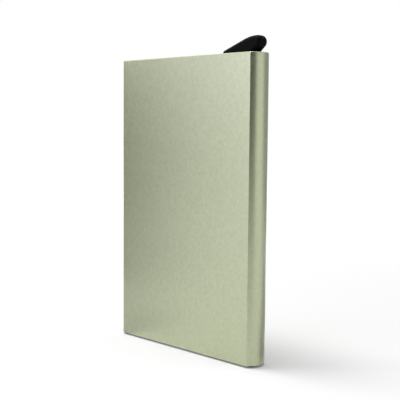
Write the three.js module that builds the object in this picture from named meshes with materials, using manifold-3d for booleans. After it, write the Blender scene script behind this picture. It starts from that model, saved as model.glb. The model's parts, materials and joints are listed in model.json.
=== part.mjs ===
// A slim card holder: an extruded aluminium case with a lever that fans the cards out.
// Millimetres, +Z up. The case stands on its card mouth, so its lever end is on top.
// X runs across the width, Y through the thickness, Z along the cards. The origin is
// the middle of the mouth.

import * as THREE from 'three';
import { mergeVertices } from 'three/addons/utils/BufferGeometryUtils.js';
import Module from 'manifold-3d';

const wasm = await Module();
wasm.setup();

// Driving dimensions

// The cards and the room they need
const CARD_LENGTH = 85.6;
const CARD_WIDTH = 53.98;
const CARD_SIDE_PLAY = 0.41;
const CARD_END_PLAY = 0.3;
const MOUTH_RECESS = 0.5;
const BAY_DEPTH = 6.0;

// The extruded case
const WALL = 1.1;
const WEB = 0.9;
const SIDE_CHAMBER = 2.6;
const SIDE_BULGE = 2.0;
const CREASE_RADIUS = 0.5;
const INNER_RADIUS = 0.4;
const RIM_CHAMFER = 0.25;

// The moulded end frame, split in two halves at the middle of the thickness
const FRAME_FIT = 0.1;
const PLATE_RECESS = 0.5;
const PLATE_THICK = 1.8;
const CHEEK_THICK = 0.6;
const CHEEK_END_GAP = 0.3;
const CHEEK_SHALLOW = 3.2;
const CHEEK_SLOPE_RUN = 4.0;
const FOOT_WIDTH = 2.2;
const BAR_WIDTH = 1.5;
const BAR_HEIGHT = 1.3;
const LEG_FIT = 0.12;
const LEG_LENGTH = 22;
const WEB_GAP = 0.2;
const PEG_DIAMETER = 1.2;
const PEG_LENGTH = 1.4;
const PEG_PLAY = 0.1;

// The lever: hub, thumb piece outside the case, stepped arm inside it
const LEVER_SIDE_PLAY = 0.2;
const LEVER_SWING = THREE.MathUtils.degToRad(38);
const HUB_RADIUS = 2.6;
const PIVOT_FROM_WEB = 5.4;
const PIVOT_DEPTH = 5.0;
const NOSE_RADIUS = 1.97;
const NOSE_SET_IN = 0.27;
const NOSE_RISE = 3.08;
const CROWN_RADIUS = 14.8;
const RAMP_RUN = 13.6;
const RAMP_TIP_RISE = 1.1;
const UNDERCUT = THREE.MathUtils.degToRad(40.5);
const THUMB_EDGE = 1.35;
const THUMB_ROOT = 2.2;
const SLOT_PLAY = 0.35;
const STEP_COUNT = 5;
const STEP_SETBACK = 7;
const ARM_TIP_RADIUS = 1.6;
const ARM_TIP_DROP = 2.2;
const ARM_TIP_GAP = 1.3;
const HEEL_REACH = 4.4;
const HEEL_SPAN = THREE.MathUtils.degToRad(34);
const HEEL_CLEARANCE = 0.5;

// The two steel pins
const PIVOT_PIN_DIAMETER = 2.0;
const STOP_PIN_DIAMETER = 1.2;
const STOP_PIN_REACH = 3.9;
const STOP_PIN_ANGLE = THREE.MathUtils.degToRad(-13.3);
const STOP_MARGIN = THREE.MathUtils.degToRad(0.6);
const PIN_PLAY = 0.1;

// The felt friction strips
const FELT_THICK = 0.7;
const FELT_WIDTH = 7;
const FELT_SPACING = 32;
const FELT_FROM_MOUTH = 6;
const FELT_ARM_GAP = 2;

// How finely round stretches are cut, and how close two points are the same
const ARC_STEPS = 5;
const EDGE_STEPS = 3;
const PIN_SIDES = 24;
const SAME_POINT = 1e-4;

// Sizes that follow from the driving dimensions
const OVERSHOOT = 1;
const bayHalf = CARD_WIDTH / 2 + CARD_SIDE_PLAY;
const webOuter = bayHalf + WEB;
const caseHalfWidth = webOuter + SIDE_CHAMBER + WALL;
const caseHalfDepth = BAY_DEPTH / 2 + WALL;
const sideRadius = (caseHalfDepth ** 2 + SIDE_BULGE ** 2) / (2 * SIDE_BULGE);
const sideCentreX = caseHalfWidth - sideRadius;
const cardEdge = MOUTH_RECESS + CARD_LENGTH;
const pivotX = bayHalf - PIVOT_FROM_WEB;
const pivotZ = cardEdge + HEEL_CLEARANCE + HEEL_REACH;
const caseLength = pivotZ + PIVOT_DEPTH;
const plateTop = caseLength - PLATE_RECESS;
const plateBottom = plateTop - PLATE_THICK;
const frameHalfDepth = BAY_DEPTH / 2 - FRAME_FIT;
const cheekInner = frameHalfDepth - CHEEK_THICK;
const cheekEndX = bayHalf - CHEEK_END_GAP;
const footBottom = cardEdge + CARD_END_PLAY;
const footInnerX = FOOT_WIDTH - cheekEndX;
const leverHalf = cheekInner - LEVER_SIDE_PLAY;
const armReach = pivotX - footInnerX - ARM_TIP_GAP - ARM_TIP_RADIUS;
const armLowest = pivotZ - armReach * Math.sin(LEVER_SWING)
  - ARM_TIP_DROP * Math.cos(LEVER_SWING) - ARM_TIP_RADIUS;

// The thumb's outline, measured from the pivot
const nose = new THREE.Vector2(
  caseHalfWidth - NOSE_SET_IN - NOSE_RADIUS - pivotX,
  PIVOT_DEPTH + NOSE_RISE,
);
const crown = new THREE.Vector2(nose.x, nose.y - CROWN_RADIUS + NOSE_RADIUS);
const rampTip = new THREE.Vector2(nose.x - RAMP_RUN, PIVOT_DEPTH + RAMP_TIP_RISE);
const sweepRadius = rampTip.length();
const undercutAngle = UNDERCUT - Math.PI / 2;
const undercutTop = new THREE.Vector2(
  nose.x + NOSE_RADIUS * Math.cos(undercutAngle),
  nose.y + NOSE_RADIUS * Math.sin(undercutAngle),
);
const undercutWay = new THREE.Vector2(-Math.cos(UNDERCUT), -Math.sin(UNDERCUT));

// Solids: making, joining and cutting

function toSolid(geometry) {
  geometry.deleteAttribute('normal');
  geometry.deleteAttribute('uv');
  const merged = mergeVertices(geometry, SAME_POINT);
  return new wasm.Manifold(new wasm.Mesh({
    numProp: 3,
    vertProperties: new Float32Array(merged.attributes.position.array),
    triVerts: new Uint32Array(merged.index.array),
  }));
}

function toGeometry(solid) {
  const { vertProperties, triVerts } = solid.getMesh();
  const geometry = new THREE.BufferGeometry();
  geometry.setAttribute('position', new THREE.BufferAttribute(vertProperties, 3));
  geometry.setIndex(new THREE.BufferAttribute(triVerts, 1));
  geometry.computeVertexNormals();
  return geometry;
}

function union(solids) {
  return solids.reduce((joined, solid) => joined.add(solid));
}

// An outline as plain points, without the doubled ones where its arcs meet
function toPoints(shape) {
  const points = shape.getPoints(ARC_STEPS);
  const next = (i) => points[(i + 1) % points.length];
  return new THREE.Shape(points.filter((point, i) => point.distanceTo(next(i)) > SAME_POINT));
}

// An extruded outline whose edges are cut back by edge in a number of rounds
function extrude(shape, length, edge, rounds) {
  return new THREE.ExtrudeGeometry(toPoints(shape), {
    depth: length - 2 * edge,
    bevelEnabled: edge > 0,
    bevelThickness: edge,
    bevelSize: edge,
    bevelOffset: -edge,
    bevelSegments: rounds,
  }).translate(0, 0, edge);
}

// A prism of an X-Y outline between two heights
function alongZ(shape, from, to, edge = 0) {
  return extrude(shape, to - from, edge, 1).translate(0, 0, from);
}

// A prism of an X-Z outline between two depths, its edges rounded over by edge
function alongY(shape, from, to, edge = 0) {
  return extrude(shape, to - from, edge, EDGE_STEPS).rotateX(Math.PI / 2).translate(0, to, 0);
}

function block(x0, x1, y0, y1, z0, z1) {
  const geometry = new THREE.BoxGeometry(x1 - x0, y1 - y0, z1 - z0);
  return geometry.translate((x0 + x1) / 2, (y0 + y1) / 2, (z0 + z1) / 2);
}

// A round bar along Y, through the point x, z
function bar(radius, half, x, z) {
  const geometry = new THREE.CylinderGeometry(radius, radius, 2 * half, PIN_SIDES);
  return geometry.translate(x, 0, z);
}

// Outlines across the case

// The case's outline drawn in by inset: two flats, two bowed sides, four rounded creases
function bowedOutline(inset, crease) {
  const half = caseHalfDepth - inset;
  const radius = sideRadius - inset;
  const creaseY = half - crease;
  const creaseX = sideCentreX + Math.sqrt((radius - crease) ** 2 - creaseY ** 2);
  const turn = Math.atan2(creaseY, creaseX - sideCentreX);
  const shape = new THREE.Shape();
  shape.absarc(creaseX, -creaseY, crease, -Math.PI / 2, -turn);
  shape.absarc(sideCentreX, 0, radius, -turn, turn);
  shape.absarc(creaseX, creaseY, crease, turn, Math.PI / 2);
  shape.absarc(-creaseX, creaseY, crease, Math.PI / 2, Math.PI - turn);
  shape.absarc(-sideCentreX, 0, radius, Math.PI - turn, Math.PI + turn);
  shape.absarc(-creaseX, -creaseY, crease, Math.PI + turn, Math.PI * 1.5);
  return shape;
}

// The D-shaped hollow between a web and the bowed side, drawn in by fit
function chamberOutline(fit) {
  const half = BAY_DEPTH / 2 - fit;
  const radius = sideRadius - WALL - fit;
  const turn = Math.asin(half / radius);
  const shape = new THREE.Shape();
  shape.absarc(sideCentreX, 0, radius, -turn, turn);
  shape.lineTo(webOuter + fit, half);
  shape.lineTo(webOuter + fit, -half);
  return shape;
}

// One chamber prism on each side; a half turn about Z makes the left one
function chamberPair(fit, from, to) {
  const right = alongZ(chamberOutline(fit), from, to);
  const left = right.clone().rotateZ(Math.PI);
  return union([toSolid(right), toSolid(left)]);
}

// The case: one extrusion with a card bay and two side chambers. Its webs are milled back
// at the lever end, where the end plate lies across the whole width.
function makeCase() {
  const outer = alongZ(bowedOutline(0, CREASE_RADIUS), 0, caseLength, RIM_CHAMFER);
  const low = -OVERSHOOT;
  const high = caseLength + OVERSHOOT;
  const bay = block(-bayHalf, bayHalf, -BAY_DEPTH / 2, BAY_DEPTH / 2, low, high);
  const pocket = alongZ(bowedOutline(WALL, INNER_RADIUS), plateBottom - WEB_GAP, high);
  const hollow = union([toSolid(bay), chamberPair(0, low, high), toSolid(pocket)]);
  return toSolid(outer).subtract(hollow);
}

// The end frame before it is split: end plate, two cheeks, card stops and two legs

function cheekOutline() {
  const shallow = plateBottom - CHEEK_SHALLOW;
  const deepX = pivotX - HUB_RADIUS - CHEEK_SLOPE_RUN;
  const shape = new THREE.Shape();
  shape.moveTo(-cheekEndX, plateBottom + PLATE_THICK / 2);
  shape.lineTo(-cheekEndX, footBottom);
  shape.lineTo(footInnerX, footBottom);
  shape.lineTo(footInnerX, shallow);
  shape.lineTo(deepX - CHEEK_SLOPE_RUN, shallow);
  shape.lineTo(deepX, footBottom);
  shape.lineTo(cheekEndX, footBottom);
  shape.lineTo(cheekEndX, plateBottom + PLATE_THICK / 2);
  return shape;
}

// The slot for the thumb: its far end is an arc about the pivot, its near end is upright
function slotOutline() {
  const radius = sweepRadius + SLOT_PLAY;
  const top = plateTop + OVERSHOOT - pivotZ;
  const bottom = plateBottom - pivotZ;
  const plateRun = (undercutTop.y - (plateTop - pivotZ)) / -undercutWay.y;
  const right = undercutTop.x + undercutWay.x * plateRun + SLOT_PLAY;
  const shape = new THREE.Shape();
  shape.moveTo(pivotX + right, pivotZ + bottom - OVERSHOOT);
  shape.lineTo(pivotX + right, pivotZ + top);
  const start = Math.PI - Math.asin(top / radius);
  const end = Math.PI - Math.asin((bottom - OVERSHOOT) / radius);
  shape.absarc(pivotX, pivotZ, radius, start, end);
  return shape;
}

function stopPinPlace() {
  return new THREE.Vector2(
    STOP_PIN_REACH * Math.cos(STOP_PIN_ANGLE),
    STOP_PIN_REACH * Math.sin(STOP_PIN_ANGLE),
  );
}

function makeFrame() {
  const half = frameHalfDepth;
  const plate = alongZ(bowedOutline(WALL + FRAME_FIT, INNER_RADIUS), plateBottom, plateTop);
  const frontCheek = alongY(cheekOutline(), -half, -cheekInner);
  const rearCheek = alongY(cheekOutline(), cheekInner, half);
  const plateMiddle = plateBottom + PLATE_THICK / 2;
  const foot = block(-cheekEndX, footInnerX, -half, half, footBottom, plateMiddle);
  const barLeft = cheekEndX - BAR_WIDTH;
  const cardBar = block(barLeft, cheekEndX, -half, half, footBottom, footBottom + BAR_HEIGHT);
  const legs = chamberPair(LEG_FIT, plateBottom - LEG_LENGTH, plateMiddle);
  const slot = alongY(slotOutline(), -cheekInner, cheekInner);
  const stop = stopPinPlace();
  const reach = half + OVERSHOOT;
  const pivotHole = bar(PIVOT_PIN_DIAMETER / 2 + PIN_PLAY, reach, pivotX, pivotZ);
  const stopHole = bar(STOP_PIN_DIAMETER / 2 + PIN_PLAY, reach, pivotX + stop.x, pivotZ + stop.y);
  const solid = union([plate, frontCheek, rearCheek, foot, cardBar].map(toSolid)).add(legs);
  return solid.subtract(union([slot, pivotHole, stopHole].map(toSolid)));
}

// A round bar in the middle of the card stop's foot, centred on the split
function pegBar(radius, half) {
  return toSolid(bar(radius, half, (footInnerX - cheekEndX) / 2, (footBottom + plateBottom) / 2));
}

// The front half carries a peg that the rear half has a socket for
function splitFrame(frame) {
  const wide = caseHalfWidth + OVERSHOOT;
  const deep = caseHalfDepth + OVERSHOOT;
  const high = caseLength + OVERSHOOT;
  const front = toSolid(block(-wide, wide, -deep, 0, 0, high));
  const rear = toSolid(block(-wide, wide, 0, deep, 0, high));
  const peg = pegBar(PEG_DIAMETER / 2, PEG_LENGTH);
  const socket = pegBar(PEG_DIAMETER / 2 + PEG_PLAY, PEG_LENGTH + PEG_PLAY);
  return [frame.intersect(front).add(peg), frame.intersect(rear).subtract(socket)];
}

// The lever, drawn about its pivot

function thumbOutline() {
  const toCrown = crown.clone().sub(rampTip);
  const rampAngle = toCrown.angle() + Math.asin(CROWN_RADIUS / toCrown.length());
  const foot = undercutTop.clone().addScaledVector(undercutWay, -undercutTop.dot(undercutWay));
  const shape = new THREE.Shape();
  shape.moveTo(-Math.sqrt(sweepRadius ** 2 - THUMB_ROOT ** 2), THUMB_ROOT);
  shape.lineTo(rampTip.x, rampTip.y);
  shape.absarc(crown.x, crown.y, CROWN_RADIUS, rampAngle + Math.PI / 2, Math.PI / 2, true);
  shape.absarc(nose.x, nose.y, NOSE_RADIUS, Math.PI / 2, undercutAngle, true);
  shape.lineTo(foot.x, foot.y);
  return shape;
}

// One step of the arm: the hub and a round tip joined by their common tangents
function armOutline(reach) {
  const tip = new THREE.Vector2(-reach, -ARM_TIP_DROP);
  const along = tip.angle();
  const spread = Math.acos((HUB_RADIUS - ARM_TIP_RADIUS) / tip.length());
  const shape = new THREE.Shape();
  shape.absarc(0, 0, HUB_RADIUS, along + spread, along - spread + 2 * Math.PI);
  shape.absarc(tip.x, tip.y, ARM_TIP_RADIUS, along - spread, along + spread);
  return shape;
}

// The heel meets the stop pin at the end of the swing
function heelOutline() {
  const pinHalfAngle = Math.asin(STOP_PIN_DIAMETER / 2 / STOP_PIN_REACH);
  const face = STOP_PIN_ANGLE - pinHalfAngle - LEVER_SWING - STOP_MARGIN;
  const shape = new THREE.Shape();
  shape.absarc(0, 0, HEEL_REACH, face - HEEL_SPAN, face);
  shape.lineTo(0, 0);
  return shape;
}

// Each step starts one layer further back and reaches further, so the cards come out fanned
function makeLever() {
  const layer = 2 * leverHalf / STEP_COUNT;
  const steps = [];
  for (let i = 0; i < STEP_COUNT; i += 1) {
    const reach = armReach - (STEP_COUNT - 1 - i) * STEP_SETBACK;
    steps.push(toSolid(alongY(armOutline(reach), i * layer - leverHalf, leverHalf)));
  }
  const thumb = toSolid(alongY(thumbOutline(), -leverHalf, leverHalf, THUMB_EDGE));
  const heel = toSolid(alongY(heelOutline(), -leverHalf, leverHalf));
  const hole = toSolid(bar(PIVOT_PIN_DIAMETER / 2 + PIN_PLAY, leverHalf + OVERSHOOT, 0, 0));
  return union([...steps, thumb, heel]).subtract(hole);
}

// A felt strip with round ends, glued to the rear wall
function makeFelt() {
  const length = armLowest - FELT_ARM_GAP - FELT_FROM_MOUTH;
  const radius = FELT_WIDTH / 2;
  const shape = new THREE.Shape();
  shape.absarc(0, radius, radius, Math.PI, 2 * Math.PI);
  shape.absarc(0, length - radius, radius, 0, Math.PI);
  return alongY(shape, -FELT_THICK, 0);
}

// The scene

const anodised = { color: 0xa9af94, roughness: 0.45, metalness: 1 };
const blackPlastic = { color: 0x161616, roughness: 0.6, metalness: 0 };
const steel = { color: 0xb8b9ba, roughness: 0.3, metalness: 1 };
const greyFelt = { color: 0x4a4b4a, roughness: 0.95, metalness: 0 };

const holder = new THREE.Group();

function place(name, geometry, finish, x = 0, y = 0, z = 0) {
  const mesh = new THREE.Mesh(geometry, new THREE.MeshStandardMaterial(finish));
  mesh.name = name;
  mesh.position.set(x, y, z);
  holder.add(mesh);
}

const [frameFront, frameRear] = splitFrame(makeFrame());
const stop = stopPinPlace();
place('case_sleeve', toGeometry(makeCase()), anodised);
place('frame_front', toGeometry(frameFront), blackPlastic);
place('frame_rear', toGeometry(frameRear), blackPlastic);
place('eject_lever', toGeometry(makeLever()), blackPlastic, pivotX, 0, pivotZ);
place('pivot_pin', bar(PIVOT_PIN_DIAMETER / 2, frameHalfDepth, 0, 0), steel, pivotX, 0, pivotZ);
place('stop_pin', bar(STOP_PIN_DIAMETER / 2, frameHalfDepth, 0, 0), steel,
  pivotX + stop.x, 0, pivotZ + stop.y);
for (const [side, x] of [['left', -FELT_SPACING / 2], ['right', FELT_SPACING / 2]]) {
  place(`felt_strip_${side}`, makeFelt(), greyFelt, x, BAY_DEPTH / 2, FELT_FROM_MOUTH);
}

export default holder;
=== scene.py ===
# %% [markdown]
# # A pop-up card holder
#
# This lesson dresses a slim card holder: an extruded aluminium case dyed sage green, a black
# lever that fans the cards out, the moulded end frame that carries the lever, two steel pins
# and two felt strips. The construction model gives every size and place. Each piece is modelled
# again here with the small round edges and the finish that the eye reads, and is then set in
# plain studio light.

# %% Load the construction model
import json
from math import acos, asin, atan2, ceil, cos, hypot, pi, radians, sin, sqrt

import bmesh
import bpy
from mathutils import Matrix, Vector


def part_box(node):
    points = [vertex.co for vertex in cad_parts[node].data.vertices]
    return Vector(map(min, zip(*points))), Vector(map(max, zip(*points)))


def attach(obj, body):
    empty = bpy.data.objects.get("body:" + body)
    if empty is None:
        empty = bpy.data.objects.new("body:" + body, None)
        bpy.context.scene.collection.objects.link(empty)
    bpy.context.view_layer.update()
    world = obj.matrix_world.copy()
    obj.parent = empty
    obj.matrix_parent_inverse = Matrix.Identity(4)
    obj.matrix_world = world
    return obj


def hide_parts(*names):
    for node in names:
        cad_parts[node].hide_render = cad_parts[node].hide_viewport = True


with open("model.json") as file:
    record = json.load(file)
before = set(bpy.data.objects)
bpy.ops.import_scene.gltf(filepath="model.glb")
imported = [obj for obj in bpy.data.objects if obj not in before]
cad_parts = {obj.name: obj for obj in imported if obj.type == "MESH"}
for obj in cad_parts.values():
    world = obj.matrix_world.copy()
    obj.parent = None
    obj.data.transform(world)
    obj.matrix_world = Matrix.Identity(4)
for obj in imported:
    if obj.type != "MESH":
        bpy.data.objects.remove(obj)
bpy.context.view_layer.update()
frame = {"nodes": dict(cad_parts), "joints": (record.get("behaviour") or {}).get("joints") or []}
print("Nodes in the construction model:", sorted(frame["nodes"]))

# %% [markdown]
# ## Sizes
#
# A modeller measures the neighbours before cutting anything. The outer sizes, the pivot and the
# seats are read from the construction model, so the new pieces land in the same place. Wall
# thicknesses and clearances can't be read from a box, so they are written here once.

# %% Measure the construction model
MM = 0.001


def middle(node):
    low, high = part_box(node)
    return (low + high) / 2


case_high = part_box("case_sleeve")[1]
frame_low, frame_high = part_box("frame_rear")
half_width = case_high.x
half_depth = case_high.y
case_top = case_high.z
plate_top = frame_high.z
leg_bottom = frame_low.z
frame_half = frame_high.y
lever_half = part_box("eject_lever")[1].y
pivot = middle("pivot_pin")
stop = middle("stop_pin")
print(f"Case {2000 * half_width:.1f} x {2000 * half_depth:.1f} x {1000 * case_top:.1f} mm")

# %% [markdown]
# ## Camera
#
# The holder stands on its card mouth and the camera looks at one upright corner from a little
# above the middle. It stands close by, which gives the two faces their strong perspective. Turning
# the camera by its azimuth, elevation and a trace of roll is easier to read than a row of Euler
# angles, so its three axes are built from those.

# %% Place the camera
CAMERA_PLACE = Vector((208.15, -194.93, 73.97)) * MM
CAMERA_AZIMUTH = radians(46.24)
CAMERA_ELEVATION = radians(4.94)
CAMERA_ROLL = radians(0.48)
CAMERA_LENS = 78.0
SENSOR_WIDTH = 36.0
NEAREST = 10 * MM


def compass(azimuth, elevation):
    """The direction seen at an azimuth from the front, counted towards +X, and an elevation."""
    level = cos(elevation)
    return Vector((sin(azimuth) * level, -cos(azimuth) * level, sin(elevation)))


back = compass(CAMERA_AZIMUTH, CAMERA_ELEVATION)
level = Vector((cos(CAMERA_AZIMUTH), sin(CAMERA_AZIMUTH), 0))
right = cos(CAMERA_ROLL) * level + sin(CAMERA_ROLL) * back.cross(level)
up = back.cross(right)

bpy.ops.object.camera_add()
camera = bpy.context.object
camera.name = "photo_camera"
camera.matrix_world = Matrix.Translation(CAMERA_PLACE) @ Matrix((right, up, back)).transposed().to_4x4()
camera.data.lens = CAMERA_LENS
camera.data.sensor_width = SENSOR_WIDTH
camera.data.clip_start = NEAREST
bpy.context.scene.camera = camera
print(f"Camera {1000 * camera.location.length:.0f} mm from the foot of the holder")

# %% [markdown]
# ## A pen for outlines
#
# Most of the pieces are prisms: an extrusion, or a moulding with one outline. By hand such an
# outline is drawn from a single vertex, which is extruded for a straight line and spun about a
# centre for an arc, and is then filled. These helpers do just that. A curve object could be drawn
# too, but a mesh can be bevelled and cut afterwards. Spin turns clockwise for a positive angle,
# so the pen hands it the opposite one.

# %% Draw and pull out
ACROSS = "XY"
SIDEWAYS = "XZ"
SPIN_AXIS = {ACROSS: (0, 0, 1), SIDEWAYS: (0, -1, 0)}
ARC_STEP = radians(4)
SAME_POINT = 0.001 * MM


def on_plane(plane, at, u, v):
    return Vector((u, v, at)) if plane == ACROSS else Vector((u, at, v))


def draw(name, plane, at, start, moves):
    """Draw a closed outline and fill it. A move is a point to go to, or a centre and a turn."""
    bpy.ops.object.select_all(action="DESELECT")
    bpy.ops.mesh.primitive_plane_add(size=MM, location=(0, 0, 0))
    piece = bpy.context.object
    piece.name = name
    bpy.ops.object.mode_set(mode="EDIT")
    bpy.ops.mesh.select_mode(type="VERT")
    bpy.ops.mesh.merge(type="CENTER")
    bpy.ops.transform.translate(value=on_plane(plane, at, *start))
    pen = Vector(start)
    for point, turn in moves:
        point = Vector(point)
        if turn:
            steps = max(2, ceil(abs(turn) / ARC_STEP))
            centre = on_plane(plane, at, *point)
            bpy.ops.mesh.spin(steps=steps, angle=-turn, center=centre, axis=SPIN_AXIS[plane])
            pen = point + Matrix.Rotation(turn, 2) @ (pen - point)
        else:
            way = on_plane(plane, 0, *(point - pen))
            bpy.ops.mesh.extrude_region_move(TRANSFORM_OT_translate={"value": way})
            pen = point
    bpy.ops.mesh.select_all(action="SELECT")
    bpy.ops.mesh.remove_doubles(threshold=SAME_POINT)
    bpy.ops.mesh.edge_face_add()
    return piece


def pull(way):
    """Pull the filled outline out into a closed solid, and leave edit mode."""
    bpy.ops.mesh.extrude_region_move(TRANSFORM_OT_translate={"value": way})
    bpy.ops.mesh.select_all(action="SELECT")
    bpy.ops.mesh.normals_make_consistent(inside=False)
    bpy.ops.object.mode_set(mode="OBJECT")
    return bpy.context.object


print("Pen ready: a point every", round(ARC_STEP * 180 / pi), "degrees of an arc")

# %% [markdown]
# ## Rounding and cutting
#
# No real edge is perfectly sharp, so every piece gets its edges rounded. The sharp edges are found
# by the angle between their faces and by their place, and are bevelled. Pieces are cut and joined
# with the Boolean modifier, which leaves slivers where two faces nearly meet, so each cut is
# followed by merging points that coincide and dissolving edges that lie flat.

# %% Round, cut and join
SCRAP = 0.002 * MM
FLAT = radians(0.3)
SHARP = radians(25)
NEAR_ENOUGH = 0.01 * MM


def round_edges(piece, radius, segments, wanted):
    """Round the sharp edges whose middles are wanted."""
    bpy.ops.object.mode_set(mode="EDIT")
    bpy.ops.mesh.select_mode(type="EDGE")
    bpy.ops.mesh.select_all(action="DESELECT")
    mesh = bmesh.from_edit_mesh(piece.data)
    for edge in mesh.edges:
        centre = (edge.verts[0].co + edge.verts[1].co) / 2
        if edge.calc_face_angle(0) > SHARP and wanted(centre):
            edge.select_set(True)
    bmesh.update_edit_mesh(piece.data)
    bpy.ops.mesh.bevel(offset=radius, segments=segments, affect="EDGES")
    bpy.ops.object.mode_set(mode="OBJECT")


def hold(piece):
    """Make this the one selected object."""
    bpy.ops.object.select_all(action="DESELECT")
    piece.select_set(True)
    bpy.context.view_layer.objects.active = piece


def apply_modifier(piece, kind, **settings):
    hold(piece)
    modifier = piece.modifiers.new(kind.title(), kind)
    for name, value in settings.items():
        setattr(modifier, name, value)
    bpy.ops.object.modifier_apply(modifier=modifier.name)


def combine(piece, operation, tools):
    """Join the tools to a piece, or cut them from it, and clear away the tools and the scraps."""
    for tool in tools:
        apply_modifier(piece, "BOOLEAN", operation=operation, solver="MANIFOLD", object=tool)
        bpy.data.objects.remove(tool)
    bpy.ops.object.mode_set(mode="EDIT")
    bpy.ops.mesh.select_all(action="SELECT")
    bpy.ops.mesh.remove_doubles(threshold=SCRAP)
    bpy.ops.mesh.dissolve_limited(angle_limit=FLAT)
    bpy.ops.object.mode_set(mode="OBJECT")


def near(a, b):
    return abs(a - b) < NEAR_ENOUGH


print("Edges bent by more than", round(SHARP * 180 / pi), "degrees count as sharp")

# %% [markdown]
# ## The case
#
# The real case is a length of aluminium extrusion: two flat walls joined by two bowed sides, with
# a web beside the card bay on each side. It could be a box with bevelled edges, but a bevel can't
# give a bowed side that meets the flat in a crisp crease. So the outline is drawn with its real
# radii, pulled up to length, and its cut ends are broken with a small radius, which is what draws
# the thin bright line along the top.

# %% Draw the outline of the extrusion
WALL = 1.1 * MM
SIDE_BULGE = 2.0 * MM
CREASE_RADIUS = 0.5 * MM
RIM_RADIUS = 0.4 * MM
RIM_SEGMENTS = 5

side_radius = (half_depth**2 + SIDE_BULGE**2) / (2 * SIDE_BULGE)
side_centre = half_width - side_radius


def bowed_outline(name, inset, crease, at):
    """The outline of the case drawn in by inset: flats, bowed sides and rounded creases."""
    half = half_depth - inset
    crease_y = half - crease
    crease_x = side_centre + sqrt((side_radius - inset - crease) ** 2 - crease_y**2)
    turn = atan2(crease_y, crease_x - side_centre)
    corner = pi / 2 - turn
    moves = []
    for sign in (1, -1):
        moves.append(((sign * crease_x, -sign * crease_y), corner))
        moves.append(((sign * side_centre, 0), 2 * turn))
        moves.append(((sign * crease_x, sign * crease_y), corner))
        moves.append(((-sign * crease_x, sign * half), 0))
    return draw(name, ACROSS, at, (crease_x, -half), moves)


case = bowed_outline("card_case", 0, CREASE_RADIUS, 0)
pull((0, 0, case_top))
round_edges(case, RIM_RADIUS, RIM_SEGMENTS, lambda p: near(p.z, 0) or near(p.z, case_top))
print("Case outline pulled up:", len(case.data.polygons), "faces")

# %% [markdown]
# ## The hollows of the case
#
# The card bay runs right through, and a narrow D-shaped chamber lies on each side of it, where
# the legs of the end frame plug in. At the lever end the webs are milled back, so that one plate
# can lie across the whole width. Cutters made with the same pen are taken away with the Boolean
# modifier, and then the inner edges at both ends are broken as a deburring tool leaves them.

# %% Shape the cutters
BAY_HALF_WIDTH = 27.4 * MM
WEB = 0.9 * MM

bay_half = half_depth - WALL
web_outer = BAY_HALF_WIDTH + WEB


def block(name, low, high):
    """A box between two corners, as a start for a cutter or a joined block."""
    bpy.ops.object.select_all(action="DESELECT")
    low, high = Vector(low), Vector(high)
    bpy.ops.mesh.primitive_cube_add(size=1, location=(low + high) / 2, scale=high - low)
    made = bpy.context.object
    made.name = name
    bpy.ops.object.transform_apply(location=True, rotation=True, scale=True)
    return made


def chamber(name, sign, fit, rear, low, high):
    """The D between a web and the bowed side, drawn in by fit, from the front wall to rear."""
    half = bay_half - fit
    radius = side_radius - WALL - fit
    start = asin(half / radius)
    flat_x = sign * (web_outer + fit)
    moves = [
        ((sign * side_centre, 0), sign * (start + asin(rear / radius))),
        ((flat_x, rear), 0),
        ((flat_x, -half), 0),
    ]
    draw(name, ACROSS, low, (sign * (side_centre + radius * cos(start)), -half), moves)
    return pull((0, 0, high - low))


print(f"Card bay {2000 * BAY_HALF_WIDTH:.1f} x {2000 * bay_half:.1f} mm")

# %% Cut the bay, the chambers and the pocket
INNER_RADIUS = 0.4 * MM
PLATE_THICK = 1.8 * MM
WEB_GAP = 0.2 * MM
DEBURR = 0.15 * MM
DEBURR_SEGMENTS = 2
OVERSHOOT = 1.0 * MM

plate_bottom = plate_top - PLATE_THICK
low = -OVERSHOOT
bay = block("bay", (-BAY_HALF_WIDTH, -bay_half, low), (BAY_HALF_WIDTH, bay_half, plate_bottom))
chambers = [chamber("chamber", sign, 0, bay_half, low, plate_bottom) for sign in (1, -1)]
pocket = bowed_outline("pocket", WALL, INNER_RADIUS, plate_bottom - WEB_GAP)
pull((0, 0, case_top + OVERSHOOT - plate_bottom))
combine(case, "DIFFERENCE", [bay, *chambers, pocket])


def is_inner_rim(p):
    inside = abs(p.x) < side_centre or hypot(abs(p.x) - side_centre, p.y) < side_radius - WALL / 2
    return (near(p.z, 0) or near(p.z, case_top)) and inside and abs(p.y) < bay_half + WALL / 2


round_edges(case, DEBURR, DEBURR_SEGMENTS, is_inner_rim)
print("Case hollowed:", len(case.data.polygons), "faces")

# %% [markdown]
# ## The outline of the lever's thumb piece
#
# The end frame has a slot that has to clear the thumb piece, so the thumb's outline is settled
# first. It is measured from the pivot: a ramp rises from the plate to a shallow crown, the crown
# runs into a round nose over the corner, and an undercut leads back to the hub.

# %% Work out the thumb's outline
HUB_RADIUS = 2.6 * MM
NOSE_RADIUS = 1.97 * MM
NOSE_SET_IN = 0.27 * MM
NOSE_RISE = 3.08 * MM
CROWN_RADIUS = 14.8 * MM
RAMP_RUN = 13.6 * MM
RAMP_TIP_RISE = 1.1 * MM
UNDERCUT = radians(40.5)
THUMB_ROOT = 2.2 * MM

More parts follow.
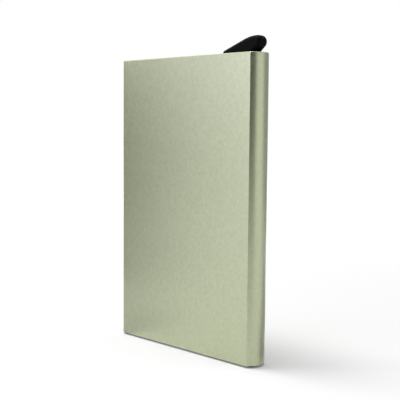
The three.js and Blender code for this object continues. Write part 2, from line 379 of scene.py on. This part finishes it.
hub = Vector((pivot.x, pivot.z))
pivot_depth = case_top - pivot.z
nose = Vector((half_width - NOSE_SET_IN - NOSE_RADIUS - pivot.x, pivot_depth + NOSE_RISE))
crown = nose - Vector((0, CROWN_RADIUS - NOSE_RADIUS))
ramp_tip = Vector((nose.x - RAMP_RUN, pivot_depth + RAMP_TIP_RISE))
sweep_radius = ramp_tip.length
undercut_top = nose + NOSE_RADIUS * Vector((sin(UNDERCUT), -cos(UNDERCUT)))
undercut_way = Vector((-cos(UNDERCUT), -sin(UNDERCUT)))
undercut_foot = undercut_top - undercut_way * undercut_top.dot(undercut_way)
print(f"Thumb stands {1000 * (nose.y + NOSE_RADIUS - pivot_depth):.2f} mm above the rim")

# %% [markdown]
# ## The end frame
#
# A black moulding closes the lever end. It has a plate that lies just below the rim, two thin
# cheeks that hold the lever's pin, feet that stop the cards, and two legs that press into the
# side chambers. The real one is moulded in two halves that meet at the middle of the thickness.
# Rounding the edges of a finished union is fragile, so each plain part of the front half gets
# its mould radii first and is joined afterwards. The rear half is a mirrored copy.

# %% Model the plate of the front half, with its slot
FRAME_FIT = 0.1 * MM
CHEEK_THICK = 0.6 * MM
SLOT_PLAY = 0.35 * MM
MOULD_RADIUS = 0.12 * MM
MOULD_SEGMENTS = 2

cheek_inner = frame_half - CHEEK_THICK


def mould(piece):
    """Give every edge of a plain part its mould radius."""
    round_edges(piece, MOULD_RADIUS, MOULD_SEGMENTS, lambda p: True)
    return piece


def slot_cutter():
    """The slot's far end is an arc about the pivot, and its near end is upright."""
    radius = sweep_radius + SLOT_PLAY
    top = plate_top + OVERSHOOT - pivot.z
    bottom = plate_bottom - OVERSHOOT - pivot.z
    plate_run = (undercut_top.y - (plate_top - pivot.z)) / -undercut_way.y
    slot_end = undercut_top.x + undercut_way.x * plate_run + SLOT_PLAY
    start, end = pi - asin(top / radius), pi - asin(bottom / radius)
    moves = [
        (hub, end - start),
        (hub + Vector((slot_end, bottom)), 0),
        (hub + Vector((slot_end, top)), 0),
    ]
    arc_start = hub + radius * Vector((cos(start), sin(start)))
    draw("slot", SIDEWAYS, -cheek_inner, arc_start, moves)
    return pull((0, 2 * cheek_inner, 0))


front_half = bowed_outline("frame_half_front", WALL + FRAME_FIT, INNER_RADIUS, plate_bottom)
pull((0, 0, PLATE_THICK))
bpy.ops.object.mode_set(mode="EDIT")
bpy.ops.mesh.bisect(plane_co=(0, 0, 0), plane_no=(0, 1, 0), use_fill=True, clear_outer=True)
bpy.ops.object.mode_set(mode="OBJECT")
combine(front_half, "DIFFERENCE", [slot_cutter()])
mould(front_half)
print("Plate of the front half:", len(front_half.data.polygons), "faces")

# %% Shape the cheek, and a round bar for pins and drills
CHEEK_END_GAP = 0.3 * MM
CHEEK_SHALLOW = 3.2 * MM
CHEEK_SLOPE_RUN = 4.0 * MM
FOOT_BOTTOM = 86.4 * MM
FOOT_WIDTH = 2.2 * MM
PIN_SIDES = 48

cheek_end = BAY_HALF_WIDTH - CHEEK_END_GAP
foot_inner = FOOT_WIDTH - cheek_end
plate_middle = plate_bottom + PLATE_THICK / 2


def cheek():
    shallow = plate_bottom - CHEEK_SHALLOW
    deep = pivot.x - HUB_RADIUS - CHEEK_SLOPE_RUN
    corners = [
        (-cheek_end, FOOT_BOTTOM),
        (foot_inner, FOOT_BOTTOM),
        (foot_inner, shallow),
        (deep - CHEEK_SLOPE_RUN, shallow),
        (deep, FOOT_BOTTOM),
        (cheek_end, FOOT_BOTTOM),
        (cheek_end, plate_middle),
    ]
    draw("cheek", SIDEWAYS, -frame_half, (-cheek_end, plate_middle), [(c, 0) for c in corners])
    return pull((0, CHEEK_THICK, 0))


def bar(name, radius, half, x, z):
    """A round bar along Y, as a start for a pin, a peg or a drill."""
    bpy.ops.object.select_all(action="DESELECT")
    turn = (pi / 2, 0, 0)
    bpy.ops.mesh.primitive_cylinder_add(
        vertices=PIN_SIDES, radius=radius, depth=2 * half, location=(x, 0, z), rotation=turn
    )
    made = bpy.context.object
    made.name = name
    bpy.ops.object.transform_apply(location=True, rotation=True, scale=True)
    return made


print(f"Cheek {2000 * cheek_end:.1f} mm long and {1000 * CHEEK_THICK:.1f} mm thick")

# %% Add the card stops and the legs, and drill the front half
BAR_WIDTH = 1.5 * MM
BAR_HEIGHT = 1.3 * MM
LEG_FIT = 0.12 * MM
PIN_PLAY = 0.1 * MM

pivot_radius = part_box("pivot_pin")[1].x - pivot.x
stop_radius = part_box("stop_pin")[1].x - stop.x
bar_top = FOOT_BOTTOM + BAR_HEIGHT
parts = [
    cheek(),
    block("card_foot", (-cheek_end, -frame_half, FOOT_BOTTOM), (foot_inner, 0, plate_middle)),
    block("card_bar", (cheek_end - BAR_WIDTH, -frame_half, FOOT_BOTTOM), (cheek_end, 0, bar_top)),
]
parts += [chamber("leg", sign, LEG_FIT, 0, leg_bottom, plate_middle) for sign in (1, -1)]
for part in parts:
    hold(part)
    mould(part)
combine(front_half, "UNION", parts)
drill_half = frame_half + OVERSHOOT
pivot_hole = bar("pivot_hole", pivot_radius + PIN_PLAY, drill_half, pivot.x, pivot.z)
stop_hole = bar("stop_hole", stop_radius + PIN_PLAY, drill_half, stop.x, stop.z)
combine(front_half, "DIFFERENCE", [pivot_hole, stop_hole])
print("Front half joined:", len(front_half.data.polygons), "faces")

# %% Mirror the rear half, and give the two a peg and a socket
PEG_RADIUS = 0.6 * MM
PEG_LENGTH = 1.4 * MM

hold(front_half)
bpy.ops.object.duplicate()
rear_half = bpy.context.object
rear_half.name = "frame_half_rear"
bpy.ops.object.mode_set(mode="EDIT")
bpy.ops.mesh.select_all(action="SELECT")
bpy.ops.transform.resize(value=(1, -1, 1), center_override=(0, 0, 0))
bpy.ops.mesh.normals_make_consistent(inside=False)
bpy.ops.object.mode_set(mode="OBJECT")

peg_x = (foot_inner - cheek_end) / 2
peg_z = (FOOT_BOTTOM + plate_bottom) / 2
combine(front_half, "UNION", [bar("peg", PEG_RADIUS, PEG_LENGTH, peg_x, peg_z)])
socket = bar("socket", PEG_RADIUS + PIN_PLAY, PEG_LENGTH + PIN_PLAY, peg_x, peg_z)
combine(rear_half, "DIFFERENCE", [socket])
print("Frame halves:", len(front_half.data.polygons), "and", len(rear_half.data.polygons), "faces")

# %% [markdown]
# ## The lever
#
# The lever is one moulding: a thumb piece outside the case, a hub on the pin, and an arm inside
# that is cut in five steps, so that each card is pushed a little further than the last. The
# thumb is one outline pulled to the lever's thickness with generously rounded edges, because a
# finger presses there. Each step of the arm is the hub and a round tip joined by their tangents.

# %% Model the thumb piece
THUMB_EDGE = 1.35 * MM
THUMB_SEGMENTS = 8

to_crown = crown - ramp_tip
ramp_angle = atan2(to_crown.y, to_crown.x) + asin(CROWN_RADIUS / to_crown.length)
crown_start = crown + CROWN_RADIUS * Vector((-sin(ramp_angle), cos(ramp_angle)))
thumb_moves = [
    (hub + ramp_tip, 0),
    (hub + crown_start, 0),
    (hub + crown, -ramp_angle),
    (hub + nose, UNDERCUT - pi),
    (hub + undercut_foot, 0),
]
thumb_root = hub + Vector((-sqrt(sweep_radius**2 - THUMB_ROOT**2), THUMB_ROOT))
lever = draw("thumb_lever", SIDEWAYS, -lever_half, thumb_root, thumb_moves)
pull((0, 2 * lever_half, 0))
round_edges(lever, THUMB_EDGE, THUMB_SEGMENTS, lambda p: near(abs(p.y), lever_half))
print("Thumb piece:", len(lever.data.polygons), "faces")

# %% Shape a step of the arm, and the heel
ARM_TIP_RADIUS = 1.6 * MM
ARM_TIP_DROP = 2.2 * MM
ARM_TIP_GAP = 1.3 * MM
ARM_EDGE = 0.15 * MM
ARM_SET_IN = 0.05 * MM
HEEL_REACH = 4.4 * MM
HEEL_SPAN = radians(34)
STOP_MARGIN = radians(0.6)

swing = radians(frame["joints"][0]["range_deg"][1])
arm_reach = pivot.x - foot_inner - ARM_TIP_GAP - ARM_TIP_RADIUS


def arm_step(reach, front):
    """The arm's root lies just inside the hub, so that the two join cleanly."""
    root = HUB_RADIUS - ARM_SET_IN
    tip = Vector((-reach, -ARM_TIP_DROP))
    along = atan2(tip.y, tip.x)
    spread = acos((root - ARM_TIP_RADIUS) / tip.length)
    tangent = Vector((cos(along + spread), sin(along + spread)))
    other = Vector((cos(along - spread), sin(along - spread)))
    moves = [
        (hub, 2 * pi - 2 * spread),
        (hub + tip + ARM_TIP_RADIUS * other, 0),
        (hub + tip, 2 * spread),
    ]
    made = draw("arm_step", SIDEWAYS, front, hub + root * tangent, moves)
    pull((0, lever_half - front, 0))
    round_edges(made, ARM_EDGE, MOULD_SEGMENTS, lambda p: near(p.y, front))
    return made


def heel():
    """The heel under the hub, whose face meets the stop pin at the end of the swing."""
    pin = Vector((stop.x, stop.z)) - hub
    face = atan2(pin.y, pin.x) - asin(stop_radius / pin.length) - swing - STOP_MARGIN
    start = hub + HEEL_REACH * Vector((cos(face - HEEL_SPAN), sin(face - HEEL_SPAN)))
    draw("heel", SIDEWAYS, -lever_half, start, [(hub, HEEL_SPAN), (hub, 0)])
    return pull((0, 2 * lever_half, 0))


print(f"Arm reaches {1000 * arm_reach:.1f} mm from the pin and swings {swing * 180 / pi:.0f} degrees")

# %% Stack the steps and join the lever
STEP_COUNT = 5
STEP_SETBACK = 7.0 * MM

layer = 2 * lever_half / STEP_COUNT
steps = []
for i in range(STEP_COUNT):
    reach = arm_reach - (STEP_COUNT - 1 - i) * STEP_SETBACK
    steps.append(arm_step(reach, i * layer - lever_half))
combine(lever, "UNION", [bar("hub", HUB_RADIUS, lever_half, pivot.x, pivot.z), *steps, heel()])
bore = bar("bore", pivot_radius + PIN_PLAY, lever_half + OVERSHOOT, pivot.x, pivot.z)
combine(lever, "DIFFERENCE", [bore])
print("Lever joined:", len(lever.data.polygons), "faces")

# %% [markdown]
# ## The pins
#
# Both pins are ground steel bars, cut to length and tumbled, so their ends are slightly rounded.
# A cylinder gives the bar; a rounded end edge and a shallow dimple from the cut-off make it read
# as a turned pin and not as a bare primitive.

# %% Model the pins
PIN_EDGE = 0.2 * MM
PIN_SEGMENTS = 3
DIMPLE_INSET = 0.35 * MM
DIMPLE_DEPTH = 0.05 * MM


def pin(name, radius, x, z):
    made = bar(name, radius, frame_half, x, z)
    round_edges(made, PIN_EDGE, PIN_SEGMENTS, lambda p: near(abs(p.y), frame_half))
    for sign in (-1, 1):
        bpy.ops.object.mode_set(mode="EDIT")
        bpy.ops.mesh.select_mode(type="FACE")
        bpy.ops.mesh.select_all(action="DESELECT")
        mesh = bmesh.from_edit_mesh(made.data)
        mesh.faces.ensure_lookup_table()
        end = max(mesh.faces, key=lambda face: sign * face.calc_center_median().y)
        end.select_set(True)
        bmesh.update_edit_mesh(made.data)
        bpy.ops.mesh.inset(thickness=DIMPLE_INSET * radius / pivot_radius)
        bpy.ops.transform.translate(value=(0, -sign * DIMPLE_DEPTH, 0))
        bpy.ops.object.mode_set(mode="OBJECT")
    return made


pivot_pin = pin("lever_pin", pivot_radius, pivot.x, pivot.z)
stop_pin = pin("lever_stop_pin", stop_radius, stop.x, stop.z)
print("Pins:", len(pivot_pin.data.polygons), "and", len(stop_pin.data.polygons), "faces")

# %% [markdown]
# ## The felt strips
#
# Two strips of felt glued to the rear wall press on the cards, so they don't slide out. Felt has
# no weave: its surface is a mat of fibres that is slightly uneven all over. The strip is drawn
# with its round ends, its free edge is rounded, and it is then cut into small faces that a
# Displace modifier pushes in and out along a cloud pattern.

# %% Model the felt strips
FELT_EDGE = 0.25 * MM
FELT_SEGMENTS = 3
FELT_CELL = 0.15 * MM
FELT_NAP = 0.1 * MM
NAP_MIDDLE = 0.9
FELT_LUMP = 0.5 * MM


def felt_strip(name, node):
    low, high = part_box(node)
    radius = (high.x - low.x) / 2
    centre_x = (low.x + high.x) / 2
    bottom = (centre_x, low.z + radius)
    top = (centre_x, high.z - radius)
    moves = [(bottom, pi), ((high.x, high.z - radius), 0), (top, pi)]
    made = draw(name, SIDEWAYS, low.y + FELT_NAP / 2, (low.x, low.z + radius), moves)
    pull((0, high.y - low.y - FELT_NAP / 2, 0))
    round_edges(made, FELT_EDGE, FELT_SEGMENTS, lambda p: p.y < low.y + FELT_NAP)
    apply_modifier(made, "REMESH", mode="VOXEL", voxel_size=FELT_CELL)
    clouds = bpy.data.textures.new("felt_clouds", "CLOUDS")
    clouds.noise_scale = FELT_LUMP
    apply_modifier(made, "DISPLACE", texture=clouds, strength=FELT_NAP, mid_level=NAP_MIDDLE)
    return made


felts = [felt_strip(f"felt_{side}", f"felt_strip_{side}") for side in ("left", "right")]
print("Felt strips:", [len(felt.data.polygons) for felt in felts], "faces")

# %% [markdown]
# ## Smooth surfaces
#
# Extruded and moulded faces run smoothly round an arc and break only at a real edge. Shading by
# angle keeps the sharp edges sharp. Weighted normals then hold the large flats flat right up to
# their small radii, so that a reflection crosses them in one piece.

# %% Finish the meshes
SMOOTH_UNDER = radians(30)
hard_pieces = [case, front_half, rear_half, lever, pivot_pin, stop_pin]

for piece in hard_pieces + felts:
    hold(piece)
    bpy.ops.object.shade_smooth_by_angle(angle=SMOOTH_UNDER)
    piece.data.name = piece.name
for piece in hard_pieces:
    apply_modifier(piece, "WEIGHTED_NORMAL", keep_sharp=True)
print("Faces in all:", sum(len(piece.data.polygons) for piece in hard_pieces + felts))

# %% [markdown]
# ## Materials
#
# Each material starts from what the real one is. One helper turns the written colours to linear
# light, one adds a node with its settings and links, and one starts a material. The patterns read
# Object coordinates, in metres, so that they stay on the piece when it moves. A noise with a scale
# of one over a length has lumps about that long, so each grain is written as a real size.

# %% Material helpers


def linear(text):
    """An sRGB hex colour as linear light, with full alpha."""
    shares = [int(text[i : i + 2], 16) / 255 for i in (1, 3, 5)]
    return [s / 12.92 if s <= 0.04045 else ((s + 0.055) / 1.055) ** 2.4 for s in shares] + [1]


def add_node(tree, kind, inputs, **settings):
    """Add a node with its settings, and set or link its inputs by name or number."""
    made = tree.nodes.new(kind)
    for name, value in settings.items():
        setattr(made, name, value)
    for name, value in inputs.items():
        if isinstance(value, bpy.types.NodeSocket):
            tree.links.new(value, made.inputs[name])
        else:
            made.inputs[name].default_value = value
    return made


def new_material(name):
    """A new material, with its node tree and its shader."""
    material = bpy.data.materials.new(name)
    material.use_nodes = True
    tree = material.node_tree
    return material, tree, tree.nodes["Principled BSDF"]


print("Middle grey in linear light:", [round(share, 3) for share in linear("#808080")])

# %% [markdown]
# ## Bead-blasted, dyed aluminium
#
# The case is blasted with fine glass beads and then anodised. Blasting leaves a dense field of
# tiny pits that spreads every reflection into a soft glow. The dye in the oxide colours the
# metal's reflection sage green, and the clear oxide above it adds a paler sheen of its own, which
# is the shader's coat. The real pits are too fine for this picture, so they are drawn coarser, and
# a wider, weaker mottle stands for the uneven dye.

# %% Anodised aluminium
SAGE_DEEP = "#a1aa86"
SAGE_PALE = "#c4cca6"
BLAST_GRAIN = 1.1 * MM
MOTTLE = 1.6 * MM
MOTTLE_SHARE = 0.2
SMOOTHEST = 0.345
ROUGHEST = 0.445
PIT_STRENGTH = 0.12
PIT_DEPTH = 0.02 * MM
OXIDE_ROUGHNESS = 0.28
OXIDE_IOR = 1.77

anodised, tree, shader = new_material("blasted_anodised_aluminium")
place = add_node(tree, "ShaderNodeTexCoord", {}).outputs["Object"]
pits = add_node(tree, "ShaderNodeTexNoise", {"Vector": place, "Scale": 1 / BLAST_GRAIN}).outputs[0]
mottle = add_node(tree, "ShaderNodeTexNoise", {"Vector": place, "Scale": 1 / MOTTLE}).outputs[0]
dye = add_node(tree, "ShaderNodeMix", {0: MOTTLE_SHARE, 2: pits, 3: mottle}, data_type="FLOAT")
shade = {0: dye.outputs[0], 6: linear(SAGE_DEEP), 7: linear(SAGE_PALE)}
colour = add_node(tree, "ShaderNodeMix", shade, data_type="RGBA")
rough = add_node(tree, "ShaderNodeMapRange", {0: pits, 3: SMOOTHEST, 4: ROUGHEST})
relief = {"Height": pits, "Strength": PIT_STRENGTH, "Distance": PIT_DEPTH}
bump = add_node(tree, "ShaderNodeBump", relief)
tree.links.new(colour.outputs[2], shader.inputs["Base Color"])
tree.links.new(rough.outputs[0], shader.inputs["Roughness"])
tree.links.new(bump.outputs[0], shader.inputs["Normal"])
shader.inputs["Metallic"].default_value = 1.0
shader.inputs["Coat Weight"].default_value = 1.0
shader.inputs["Coat Roughness"].default_value = OXIDE_ROUGHNESS
shader.inputs["Coat IOR"].default_value = OXIDE_IOR
print("Made", anodised.name, "from", SAGE_DEEP, "and", SAGE_PALE)

# %% [markdown]
# ## Moulded black plastic
#
# The lever is nylon filled with a little glass, moulded in a tool whose wall is spark-eroded. It
# is nearly black, and the eroded texture shows as a fine, even grain that keeps the highlight on
# the crown soft and leaves little of the plastic's own gloss, so the specular level is low. The
# frame is the same plastic from a smoother tool. A bump from the same noise as the colour would be
# enough on its own, but letting the noise move the roughness as well is what makes the highlight
# crumble at its edge. The real grain is finer, and is drawn as coarse as it needs to show.

# %% Lever and frame plastic
BLACK_DEEP = "#030303"
BLACK_WORN = "#0e0e0e"
SPARK_GRAIN = 0.18 * MM
SPARK_DEPTH = 0.03 * MM
BLACK_GLOSS = 0.05
GLOSS_SPREAD = 0.12


def black_plastic(name, roughness, strength):
    material, tree, shader = new_material(name)
    place = add_node(tree, "ShaderNodeTexCoord", {}).outputs["Object"]
    spark = add_node(tree, "ShaderNodeTexNoise", {"Vector": place, "Scale": 1 / SPARK_GRAIN}).outputs[0]
    shade = {0: spark, 6: linear(BLACK_DEEP), 7: linear(BLACK_WORN)}
    colour = add_node(tree, "ShaderNodeMix", shade, data_type="RGBA")
    spread = {0: spark, 3: roughness - GLOSS_SPREAD, 4: roughness + GLOSS_SPREAD}
    rough = add_node(tree, "ShaderNodeMapRange", spread)
    relief = {"Height": spark, "Strength": strength, "Distance": SPARK_DEPTH}
    bump = add_node(tree, "ShaderNodeBump", relief)
    tree.links.new(colour.outputs[2], shader.inputs["Base Color"])
    tree.links.new(rough.outputs[0], shader.inputs["Roughness"])
    tree.links.new(bump.outputs[0], shader.inputs["Normal"])
    shader.inputs["Specular IOR Level"].default_value = BLACK_GLOSS
    return material


lever_plastic = black_plastic("spark_eroded_black_nylon", roughness=0.5, strength=0.5)
frame_plastic = black_plastic("moulded_black_nylon", roughness=0.58, strength=0.3)
print("Made", lever_plastic.name, "and", frame_plastic.name)

# %% [markdown]
# ## Ground steel
#
# The pins are ground round and round on a wheel, so fine rings run about each pin. Stretching a
# noise along the pin's girth draws them, coarser than the real marks so that they show. Only the
# ends and a sliver of the bar are ever seen.

# %% Pin steel
STEEL_DARK = "#9fa1a3"
STEEL_BRIGHT = "#c4c6c8"
GRIND_STEP = 0.08 * MM
GIRTH_STRETCH = 0.05
GROUND_SMOOTH = 0.22
GROUND_ROUGH = 0.36

steel, tree, shader = new_material("ground_steel")
place = add_node(tree, "ShaderNodeTexCoord", {}).outputs["Object"]
along_pin = (GIRTH_STRETCH, 1, GIRTH_STRETCH)
rings = add_node(tree, "ShaderNodeMapping", {"Vector": place, "Scale": along_pin})
pattern = {"Vector": rings.outputs[0], "Scale": 1 / GRIND_STEP}
grind = add_node(tree, "ShaderNodeTexNoise", pattern).outputs[0]
shade = {0: grind, 6: linear(STEEL_DARK), 7: linear(STEEL_BRIGHT)}
colour = add_node(tree, "ShaderNodeMix", shade, data_type="RGBA")
rough = add_node(tree, "ShaderNodeMapRange", {0: grind, 3: GROUND_SMOOTH, 4: GROUND_ROUGH})
tree.links.new(colour.outputs[2], shader.inputs["Base Color"])
tree.links.new(rough.outputs[0], shader.inputs["Roughness"])
shader.inputs["Metallic"].default_value = 1.0
print("Made", steel.name, "with rings", round(GRIND_STEP / MM, 2), "mm apart")

# %% [markdown]
# ## Wool felt
#
# Felt is pressed from short wool fibres that lie every way. Two noises at different sizes, one
# for the fibres and one for the lumps in the mat, vary the grey, and a velvet-like sheen gives
# the pale edge that loose fibre ends make. Real wool is too thin to show, so the fibres are drawn
# a few times thicker.

# %% Felt
FELT_DARK = "#3c3d3c"
FELT_LIGHT = "#666866"
FIBRE = 0.12 * MM
FIBRE_DETAIL = 6.0
FIBRE_DEPTH = 0.1 * MM
FIBRE_STRENGTH = 0.8
LUMP_SHARE = 0.4
FELT_ROUGHNESS = 0.95
FELT_SHEEN = 0.3

felt_grey, tree, shader = new_material("pressed_wool_felt")
place = add_node(tree, "ShaderNodeTexCoord", {}).outputs["Object"]
pattern = {"Vector": place, "Scale": 1 / FIBRE, "Detail": FIBRE_DETAIL}
fibre = add_node(tree, "ShaderNodeTexNoise", pattern).outputs[0]
lumps = add_node(tree, "ShaderNodeTexNoise", {"Vector": place, "Scale": 1 / FELT_LUMP}).outputs[0]
mat = add_node(tree, "ShaderNodeMix", {0: LUMP_SHARE, 2: fibre, 3: lumps}, data_type="FLOAT")
shade = {0: mat.outputs[0], 6: linear(FELT_DARK), 7: linear(FELT_LIGHT)}
colour = add_node(tree, "ShaderNodeMix", shade, data_type="RGBA")
relief = {"Height": fibre, "Strength": FIBRE_STRENGTH, "Distance": FIBRE_DEPTH}
bump = add_node(tree, "ShaderNodeBump", relief)
tree.links.new(colour.outputs[2], shader.inputs["Base Color"])
tree.links.new(bump.outputs[0], shader.inputs["Normal"])
shader.inputs["Roughness"].default_value = FELT_ROUGHNESS
shader.inputs["Sheen Weight"].default_value = FELT_SHEEN
print("Made", felt_grey.name, "with fibres drawn", round(FIBRE / MM, 2), "mm thick")

# %% [markdown]
# ## Putting the pieces on the construction model
#
# Each new piece stands for one node of the construction model, rides on the body that the node
# belongs to, and takes its finish.

# %% Ride, replace and finish
placed = [
    (case, "case", "case_sleeve", "case_aluminium", anodised),
    (front_half, "case", "frame_front", "frame_plastic", frame_plastic),
    (rear_half, "case", "frame_rear", "frame_plastic", frame_plastic),
    (lever, "lever", "eject_lever", "lever_plastic", lever_plastic),
    (pivot_pin, "case", "pivot_pin", "pin_steel", steel),
    (stop_pin, "case", "stop_pin", "pin_steel", steel),
    (felts[0], "case", "felt_strip_left", "strip_felt", felt_grey),
    (felts[1], "case", "felt_strip_right", "strip_felt", felt_grey),
]
for piece, body, node, slot, material in placed:
    piece.data.materials.clear()
    piece.data.materials.append(material)
    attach(piece, body)
    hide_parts(node)
print("Pieces on bodies:", {piece.name: body for piece, body, *_ in placed})

# %% [markdown]
# ## Floor
#
# The holder stands on white paper that runs on without a horizon. In a studio the paper is bent
# up behind the object. Here a flat sheet with a faint glow that grows with the distance does the
# same from every side. The glow reaches only rays that the camera follows, straight or by way of
# a reflection, so it adds no light to the holder and the soft shadow stays. A saw-cut end touches
# the paper only at its high spots, so the sheet lies a hair below the mouth, and that gap draws
# the thin dark line under the case.

# %% Floor
FLOOR_SIZE = 6.0
FLOOR_DROP = 0.4 * MM
FLOOR_WHITE = "#e8e8e8"
PAPER_ROUGHNESS = 0.9
GLOW_NEAR = 0.13
GLOW_FAR = 0.5
GLOW_START = 0.1
GLOW_END = 0.6


def seen_directly(tree):
    """1 for what the camera sees, also by way of metal or glass, and 0 for the light that spreads."""
    path = add_node(tree, "ShaderNodeLightPath", {}).outputs
    seen = path["Is Camera Ray"]
    for other in ("Is Glossy Ray", "Is Transmission Ray"):
        seen = add_node(tree, "ShaderNodeMath", {0: seen, 1: path[other]}, operation="MAXIMUM").outputs[0]
    return seen


bpy.ops.object.select_all(action="DESELECT")
bpy.ops.mesh.primitive_plane_add(size=FLOOR_SIZE, location=(0, 0, -FLOOR_DROP))
floor = bpy.context.object
floor.name = "studio_floor"
paper, tree, shader = new_material("white_studio_paper")
place = add_node(tree, "ShaderNodeTexCoord", {}).outputs["Object"]
away = add_node(tree, "ShaderNodeVectorMath", {0: place}, operation="LENGTH").outputs["Value"]
fade = {0: away, 1: GLOW_START, 2: GLOW_END, 3: GLOW_NEAR, 4: GLOW_FAR}
glow = add_node(tree, "ShaderNodeMapRange", fade, interpolation_type="SMOOTHSTEP").outputs[0]
shown = add_node(tree, "ShaderNodeMath", {0: glow, 1: seen_directly(tree)}, operation="MULTIPLY")
tree.links.new(shown.outputs[0], shader.inputs["Emission Strength"])
shader.inputs["Emission Color"].default_value = (1, 1, 1, 1)
shader.inputs["Base Color"].default_value = linear(FLOOR_WHITE)
shader.inputs["Roughness"].default_value = PAPER_ROUGHNESS
shader.inputs["Specular IOR Level"].default_value = 0.0
floor.data.materials.append(paper)
print("Floor", FLOOR_SIZE, "m wide, glowing from", GLOW_START, "m outwards")

# %% [markdown]
# ## Surroundings
#
# White walls all round fill the shadows. The camera and the metal see them as plain white, and
# the light that they throw on the holder is a little weaker, so that the lamps still model it.

# %% World
FILL = 0.62

world = bpy.data.worlds.new("white_studio")
bpy.context.scene.world = world
world.use_nodes = True
tree = world.node_tree
strength = add_node(tree, "ShaderNodeMapRange", {0: seen_directly(tree), 3: FILL, 4: 1.0})
sky = tree.nodes["Background"]
sky.inputs["Color"].default_value = (1, 1, 1, 1)
tree.links.new(strength.outputs[0], sky.inputs["Strength"])
print("Surroundings fill with", FILL, "of white")

# %% [markdown]
# ## Lamps
#
# Two softboxes light the holder, as on a product table. The one high on the left throws the short
# soft shadow to the right. The low strip in front is cool daylight, and its glow is what brightens
# the large face towards the crease. A lamp is written down by where it stands and how bright its
# cloth is, because that is what a metal shows, and Blender's watts follow from the size.

# %% Lamps
AIM = Vector((0, 0, case_top / 2))


def softbox(name, azimuth, elevation, distance, width, height, radiance, colour):
    """A rectangular lamp that faces the middle of the holder. Radiance 1 is as bright as white."""
    way = compass(radians(azimuth), radians(elevation))
    bpy.ops.object.light_add(type="AREA", location=AIM + way * distance)
    lamp = bpy.context.object
    lamp.name = name
    lamp.rotation_euler = way.to_track_quat("Z", "Y").to_euler()
    lamp.data.shape = "RECTANGLE"
    lamp.data.size = width
    lamp.data.size_y = height
    lamp.data.energy = pi * width * height * radiance
    lamp.data.color = linear(colour)[:3]
    lamp.visible_camera = False


KEY_PLACE = {"azimuth": -60, "elevation": 71, "distance": 0.7}
KEY_CLOTH = {"width": 0.26, "height": 0.26, "radiance": 13.2, "colour": "#ffffff"}
STRIP_PLACE = {"azimuth": -12, "elevation": 15, "distance": 0.5}
STRIP_CLOTH = {"width": 0.52, "height": 0.18, "radiance": 1.85, "colour": "#e2d8ff"}
softbox("key_softbox", **KEY_PLACE, **KEY_CLOTH)
softbox("front_softbox", **STRIP_PLACE, **STRIP_CLOTH)

# %% [markdown]
# ## Flags
#
# Satin metal shows its form only where something dark stands among the lights, so a photographer
# sets up black and grey cards, called flags, outside the picture. The one behind the camera draws
# the dark line along the crease, the ones on the left shade the far end of the large face, and the
# ones behind and on the right turn the edge of the bowed side. The small grey one on the right is
# painted shadow: it lies in the holder's own shadow and darkens that shadow where the metal mirrors
# it. The last one is painted shade as well: a black sheet right under the mouth, where no light
# gets in, so that the lower rim mirrors black there and not white paper. Painting such shades on
# the metal would stay put when the holder turns, and a real reflection doesn't. Here a flag shows
# only in reflections and takes no light away. Lying flags are stacked with a little lift each,
# because two sheets at one height would flicker where they overlap.

# %% Flag cloth
FLAG_BLACK = "#0a0a0a"
FLAG_DARK = "#515151"
FLAG_GREY = "#b0b0b0"
FLAG_PALE = "#d0d0d0"


def flag_cloth(name, colour):
    material, tree, shader = new_material(name)
    shader.inputs["Base Color"].default_value = linear(colour)
    shader.inputs["Roughness"].default_value = 1.0
    shader.inputs["Specular IOR Level"].default_value = 0.0
    return material


black_cloth = flag_cloth("black_flag_cloth", FLAG_BLACK)
dark_cloth = flag_cloth("dark_flag_cloth", FLAG_DARK)
grey_cloth = flag_cloth("grey_flag_cloth", FLAG_GREY)
pale_cloth = flag_cloth("pale_flag_cloth", FLAG_PALE)
print("Flag cloth in", FLAG_BLACK, FLAG_DARK, FLAG_GREY, "and", FLAG_PALE)

# %% Set up the flags
FLAG_LIFT = 0.01 * MM
# Name, cloth, lying or standing, azimuth in degrees, then distance, width and height in metres.
FLAGS = [
    ("camera_flag", black_cloth, "standing", 34, 0.41, 0.75, 0.9),
    ("left_flag", black_cloth, "standing", -77, 0.28, 0.3, 0.12),
    ("left_floor_flag", dark_cloth, "lying", -76, 0.195, 0.16, 0.16),
    ("corner_flag", pale_cloth, "lying", -79, 0.108, 0.058, 0.16),
    ("back_flag", grey_cloth, "standing", 190, 0.3, 0.95, 0.34),
    ("back_floor_flag", grey_cloth, "lying", 159, 0.136, 0.1, 0.18),
    # Painted shadow: a grey sheet in the holder's own shadow, seen only in the metal, darkens it there.
    ("painted_side_shadow", grey_cloth, "lying", 118, 0.052, 0.026, 0.034),
    # Painted shade: a black sheet under the mouth, seen only in the metal, stands for the shade there.
    ("painted_mouth_shade", black_cloth, "lying", 0, 0, 2 * half_width, 2 * half_depth),
]
for sheet, (name, cloth, stance, azimuth, distance, width, height) in enumerate(FLAGS, 1):
    foot = compass(radians(azimuth), 0) * distance
    lift = sheet * FLAG_LIFT - FLOOR_DROP if stance == "lying" else height / 2
    tilt = 0 if stance == "lying" else pi / 2
    bpy.ops.object.select_all(action="DESELECT")
    bpy.ops.mesh.primitive_plane_add(
        size=1, location=foot + Vector((0, 0, lift)), rotation=(tilt, 0, radians(azimuth))
    )
    card = bpy.context.object
    card.name = name
    card.scale = (width, height, 1)
    card.data.materials.append(cloth)
    card.visible_camera = False
    card.visible_diffuse = False
    card.visible_shadow = False
print("Flags:", [row[0] for row in FLAGS])

# %% [markdown]
# ## View
#
# The Standard view shows a colour as it is written.

# %% View settings
bpy.context.scene.view_settings.view_transform = "Standard"
